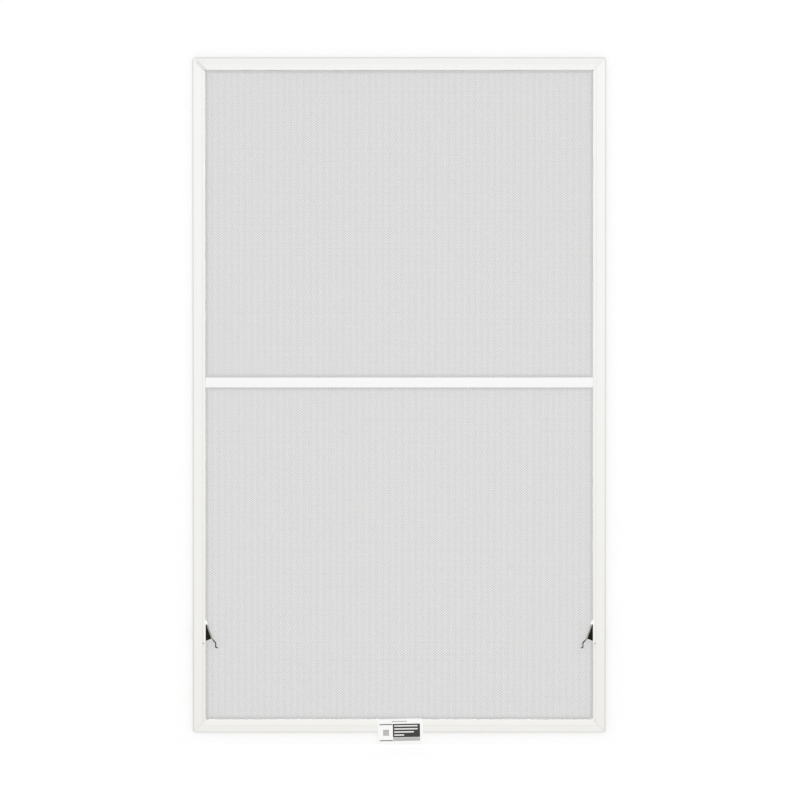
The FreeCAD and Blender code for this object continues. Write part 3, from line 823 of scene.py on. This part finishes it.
# %% Bead tree
bend_steps = 5
bead_inputs = {
    "Width": float_input,
    "Height": float_input,
    "Bend": float_input,
    "Radius": float_input,
    "Ribs": integer_input,
    "Rib Share": float_input,
    "Place": vector_input,
    "Finish": material_input,
}
bead_tree, dial, result = new_tree("ribbed_bead", bead_inputs)
loop_links = {"Width": dial["Width"], "Height": dial["Height"]}
loop = linked_node(bead_tree, "GeometryNodeCurvePrimitiveQuadrilateral", loop_links)
on_edge = {"Rotation": (math.pi / 2, 0, 0)}
upright = linked_node(bead_tree, "GeometryNodeTransform", {"Geometry": loop}, on_edge)
bend_links = {"Curve": upright, "Radius": dial["Bend"]}
route = linked_node(bead_tree, "GeometryNodeFilletCurve", bend_links, {"Count": bend_steps}, mode="POLY")

ring_points = maths(bead_tree, "MULTIPLY", dial["Ribs"], 2)
ring_links = {"Resolution": ring_points, "Radius": dial["Radius"]}
ring = linked_node(bead_tree, "GeometryNodeCurvePrimitiveCircle", ring_links)
pull_share = maths(bead_tree, "MULTIPLY", odd_or_even(bead_tree), dial["Rib Share"])
pull = maths(bead_tree, "SUBTRACT", 1, pull_share)
pull_links = {"Vector": add_node(bead_tree, "GeometryNodeInputPosition").outputs[0], "Scale": pull}
pulled = linked_node(bead_tree, "ShaderNodeVectorMath", pull_links, operation="SCALE")
ribbed = linked_node(bead_tree, "GeometryNodeSetPosition", {"Geometry": ring, "Position": pulled})
swept = linked_node(bead_tree, "GeometryNodeCurveToMesh", {"Curve": route, "Profile Curve": ribbed})
realized(bead_tree, swept, dial, result)

# %% [markdown]
# The bead takes its size from the CAD solid that it stands for. A swept tube can come out with a double seam
# or inside out, so doubles are merged and the faces are turned outwards before it becomes a piece.

# %% Press in the bead
merge_reach = 0.001 * mm
bead_low, bead_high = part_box("spline")
bead_centre = (bead_low + bead_high) / 2
bead_radius = (bead_high.y - bead_low.y) / 2
bead_dials = {
    "Width": bead_high.x - bead_low.x - 2 * bead_radius,
    "Height": bead_high.z - bead_low.z - 2 * bead_radius,
    "Bend": 2.2 * mm,
    "Radius": bead_radius,
    "Ribs": 12,
    "Rib Share": 0.09,
    "Place": bead_centre,
    "Finish": bead_finish,
}
bead_mesh = run_tree("vinyl_bead", bead_tree, bead_dials)
sorting = bmesh.new()
sorting.from_mesh(bead_mesh)
bmesh.ops.remove_doubles(sorting, verts=sorting.verts, dist=merge_reach)
bmesh.ops.recalc_face_normals(sorting, faces=sorting.faces)
sorting.to_mesh(bead_mesh)
sorting.free()
bead = add_piece("vinyl_bead", bead_mesh)
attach(bead, "frame")
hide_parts("spline")

# %% [markdown]
# A white film tag is stuck over the middle of the bottom rail, a little askew, and hangs below it. Film and
# ink are both smooth, with a faint unevenness from the printing roller, so one finish serves for the film
# and the four inks, in different tones.

# %% Tag finishes
roller_scale, roller_step = (260, 260, 900), 0.1


def printed_film(name, low_tone, high_tone, gloss):
    """Film or ink with a faint unevenness from the printing roller."""
    material, tree, shader, place = start_finish(name)
    roller = noise(tree, place, roller_scale, 3.0)
    uneven_gloss = spread(tree, roller, *noise_range, gloss, gloss + roller_step)
    tree.links.new(ramp(tree, roller, *noise_range, low_tone, high_tone), shader.inputs["Base Color"])
    tree.links.new(uneven_gloss, shader.inputs["Roughness"])
    return material


tag_film = printed_film("tag_film", screen_colour(247, 247, 245), screen_colour(251, 251, 250), 0.34)
black_ink = printed_film("black_ink", screen_colour(22, 22, 21), screen_colour(34, 34, 32), 0.3)
dark_ink = printed_film("dark_ink", screen_colour(84, 83, 80), screen_colour(98, 97, 94), 0.34)
grey_ink = printed_film("grey_ink", screen_colour(176, 175, 174), screen_colour(190, 189, 188), 0.36)
white_ink = printed_film("white_ink", screen_colour(232, 231, 228), screen_colour(242, 241, 239), 0.36)
dress(tag_film, "label")

# %% [markdown]
# Ink could be painted with a texture, but a small tag gets few texels, so each field is a very thin plate
# with round corners that stays crisp from any distance. Fields are given in millimetres from the tag's
# centre, as a printer would lay them out, and one matrix then takes them all to the tilted tag.

# %% Helpers for the tag print
tag_low, tag_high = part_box("label")
tag_centre = (tag_low + tag_high) / 2
tag_tilt = math.radians(1.0)
ink_depth = 0.05 * mm
ink_corner = 0.5 * mm
corner_steps = 4
tag_place = Matrix.Translation((tag_centre.x, tag_low.y, tag_centre.z)) @ Matrix.Rotation(-tag_tilt, 4, "Y")
print("tag centre", [round(value, 4) for value in tag_centre])


def ink_outline(left, low, right, high):
    """The outline of a field with round corners, in metres from the tag's centre."""
    outline = []
    for index, (across, up) in enumerate(((right, high), (left, high), (left, low), (right, low))):
        inward = Vector((1 if across == left else -1, 0, 1 if up == low else -1))
        centre = Vector((across, 0, up)) * mm + inward * ink_corner
        for step in range(corner_steps + 1):
            angle = (index + step / corner_steps) * math.pi / 2
            outline.append(centre + Vector((math.cos(angle), 0, math.sin(angle))) * ink_corner)
    return outline


def thin_plate(plates, outline):
    """A closed plate between an outline and its copy, an ink's depth further back."""
    back_outline = [point + Vector((0, ink_depth, 0)) for point in outline]
    front, back = [[plates.verts.new(point) for point in points] for points in (outline, back_outline)]
    plates.faces.new(front)
    plates.faces.new(back)
    for index in range(len(outline)):
        plates.faces.new((front[index - 1], front[index], back[index], back[index - 1]))


def print_ink(name, finish, layer, fields):
    """All fields of one ink as one piece of thin plates, some layers in front of the film."""
    plates = bmesh.new()
    forward = Vector((0, -layer * ink_depth, 0))
    for field in fields:
        thin_plate(plates, [point + forward for point in ink_outline(*field)])
    bmesh.ops.recalc_face_normals(plates, faces=plates.faces)
    mesh = bpy.data.meshes.new(name)
    plates.to_mesh(mesh)
    plates.free()
    mesh.transform(tag_place)
    mesh.materials.append(finish)
    piece = add_piece(name, mesh)
    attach(piece, "frame")


# %% [markdown]
# The print is plain: a dark field with bars of uneven length, a foot below it, a square in a ruled panel at
# the left, and a rule above. There is nothing to read.

# %% Tag print
field_left, field_right = -14.0, 36.0
field_low, field_high = -11.2, 13.5
field_gap, field_margin = 0.6, 2.6
panel_left, panel_low = -38.6, -18.0
rule_height = 1.8
bar_height, bar_pitch = 2.4, 5.6
bar_lengths = (43.0, 43.0, 36.0, 18.0)
bar_left = field_left + field_margin
bar_tops = [field_high - field_margin - index * bar_pitch for index in range(len(bar_lengths))]
rule_lows = (panel_low, field_high - rule_height)
rules = [(panel_left, low, field_left - field_gap, low + rule_height) for low in rule_lows]
bars = [(bar_left, top - bar_height, bar_left + length, top) for top, length in zip(bar_tops, bar_lengths)]
square = (-32.0, -8.0, -21.0, 3.0)
foot = (field_left, panel_low, field_right, field_low - field_gap)
head_rule = (-16.0, 17.0, 12.0, 18.8)
on_film, on_ink = 1, 2
print_ink("tag_black_print", black_ink, on_film, [(field_left, field_low, field_right, field_high)])
print_ink("tag_grey_print", grey_ink, on_film, [foot, head_rule, square])
print_ink("tag_dark_print", dark_ink, on_film, rules)
print_ink("tag_white_print", white_ink, on_ink, bars)

# %% [markdown]
# The stage is a pale floor and a white backdrop close behind the screen, which takes the soft shadow round
# the frame. Behind the opening lies a third sheet that is bright like the daylight behind a window, so the
# cloth stays light. Paper that is only lit goes grey in every shadow, and paper that only glows shows no
# shadow at all, so each sheet has its own mix: the backdrop is almost only lit, the floor is half and half,
# and the panel mostly glows. The glow reaches the camera alone, so none of it falls on the screen. The
# upright sheets are clear from behind, so that the back of the screen can be seen and lit as well.


# %% White paper
def white_paper(name, glow_share, lit_share, one_sided):
    """White paper: partly lit, partly glowing to the camera, and clear from behind if it has one side."""
    material, tree, shader, _ = start_finish(name)
    tree.nodes.remove(shader)
    lit = add_node(tree, "ShaderNodeBsdfDiffuse", {"Color": grey(lit_share)})
    glow = add_node(tree, "ShaderNodeEmission")
    seen = add_node(tree, "ShaderNodeLightPath").outputs["Is Camera Ray"]
    tree.links.new(maths(tree, "MULTIPLY", seen, glow_share), glow.inputs["Strength"])
    paper = add_node(tree, "ShaderNodeAddShader")
    tree.links.new(lit.outputs[0], paper.inputs[0])
    tree.links.new(glow.outputs[0], paper.inputs[1])
    surface = paper.outputs[0]
    if one_sided:
        front_or_back = add_node(tree, "ShaderNodeMixShader")
        behind = add_node(tree, "ShaderNodeNewGeometry").outputs["Backfacing"]
        tree.links.new(behind, front_or_back.inputs[0])
        tree.links.new(surface, front_or_back.inputs[1])
        tree.links.new(add_node(tree, "ShaderNodeBsdfTransparent").outputs[0], front_or_back.inputs[2])
        surface = front_or_back.outputs[0]
    tree.links.new(surface, tree.nodes["Material Output"].inputs["Surface"])
    return material


def paper_sheet(name, points, glow_share, lit_share, one_sided=True):
    """A flat sheet of paper that is no part of the object, and that only the camera sees."""
    mesh = bpy.data.meshes.new(name)
    mesh.from_pydata(points, [], [(0, 1, 2, 3)])
    mesh.materials.append(white_paper(name, glow_share, lit_share, one_sided))
    sheet = bpy.data.objects.new(name, mesh)
    bpy.context.scene.collection.objects.link(sheet)
    sheet.visible_diffuse = False
    sheet.visible_glossy = False
    sheet.visible_transmission = False
    sheet.visible_shadow = False
    print(name, "glows", glow_share, "and is lit", lit_share)


# %% [markdown]
# The floor lies just under the tag and the backdrop stands just behind the frame. The panel is a little
# nearer than the backdrop and ends behind the rails, so that none of its edges shows.

# %% Stage
floor_gap = 3 * mm
backdrop_gap = 1.4 * mm
panel_gap = 1 * mm
stage_half = 4.0


def upright_sheet(left, right, low, high, plane):
    """The corners of a sheet that faces the room."""
    return [(left, plane, low), (right, plane, low), (right, plane, high), (left, plane, high)]


floor_level = cad_box[0].z - floor_gap
floor_ends = [(-1, -1), (1, -1), (1, 1), (-1, 1)]
floor = [(x * stage_half, y * stage_half, floor_level) for x, y in floor_ends]
paper_sheet("floor", floor, glow_share=0.65, lit_share=0.5, one_sided=False)
wall_plane = cad_box[1].y + backdrop_gap
wall = upright_sheet(-stage_half, stage_half, floor_level, 2 * stage_half, wall_plane)
paper_sheet("backdrop", wall, glow_share=0.03, lit_share=0.99)
panel_plane = cad_box[1].y + panel_gap
panel = upright_sheet(bead_low.x, bead_high.x, bead_low.z, bead_high.z, panel_plane)
paper_sheet("light_panel", panel, glow_share=0.76, lit_share=0.12)

# %% [markdown]
# A product studio lights a white frame from all round, so that it stays white, and adds a direction with
# lamps. One large soft lamp stands behind the camera and a little higher, and another does the same for the
# back of the screen. A small lamp would give hard shadows, so both are five metres wide. Together with the
# light from all round, they add up to about one on the front, so a colour renders about as it is written.

# %% Lamps
screen_centre = (cad_box[0] + cad_box[1]) / 2


def soft_lamp(name, place, size, power):
    """A square soft lamp aimed at the middle of the screen."""
    lamp_data = bpy.data.lights.new(name, "AREA")
    lamp_data.shape = "SQUARE"
    lamp_data.size = size
    lamp_data.energy = power
    lamp = bpy.data.objects.new(name, lamp_data)
    lamp.location = place
    lamp.rotation_euler = (screen_centre - Vector(place)).to_track_quat("-Z", "Y").to_euler()
    bpy.context.scene.collection.objects.link(lamp)
    print(name, "at", place, "power", power)


soft_lamp("key_lamp", (0.6, -9.5, 1.9), size=5.0, power=150.0)
soft_lamp("back_lamp", (-0.8, 9.6, 1.8), size=5.0, power=330.0)

# %% [markdown]
# The rest of the light comes from the world. More of it comes from the room's side than from behind, so
# edges that turn away from the room go a little grey and the frame gets an outline. Looked at by the camera,
# or seen in a reflection, the world is plain white.

# %% Light from all round
room_light, outdoor_light = 0.92, 0.42
world = bpy.data.worlds.new("studio")
bpy.context.scene.world = world
world.use_nodes = True
sky = world.node_tree
depth = axes_of(sky, add_node(sky, "ShaderNodeTexCoord").outputs["Generated"])["Y"]
all_round = spread(sky, depth, -1.0, 1.0, room_light, outdoor_light)
ray = add_node(sky, "ShaderNodeLightPath").outputs
looked_at = maths(sky, "MAXIMUM", ray["Is Camera Ray"], ray["Is Glossy Ray"])
looked_at = maths(sky, "MAXIMUM", looked_at, ray["Is Transmission Ray"])
strength = maths(sky, "MAXIMUM", looked_at, all_round)
background = sky.nodes["Background"]
background.inputs["Color"].default_value = clean
sky.links.new(strength, background.inputs["Strength"])
print("light from the room", room_light, "and from outdoors", outdoor_light)

# %% [markdown]
# The picture was taken straight on from the room, from a few metres away with a long lens, a touch above
# the middle. The picture is square and takes in about one and a half metres at the screen, and that fixes
# the lens for the distance.

# %% Camera
view_width = 1.47
view_distance = 4.5
view_rise = math.radians(0.7)
view_across, view_height = 1.3 * mm, 605.7 * mm
view_target = Vector((view_across, cad_box[0].y, view_height))
camera_data = bpy.data.cameras.new("photo_camera")
camera_data.lens = camera_data.sensor_width * view_distance / view_width
camera = bpy.data.objects.new("photo_camera", camera_data)
camera.location = view_target + Vector((0, -math.cos(view_rise), math.sin(view_rise))) * view_distance
camera.rotation_euler = Euler((math.pi / 2 - view_rise, 0, 0))
bpy.context.scene.collection.objects.link(camera)
bpy.context.scene.camera = camera
bpy.context.scene.view_settings.view_transform = "Standard"
print("lens", round(camera_data.lens, 1), "mm at", view_distance, "m")
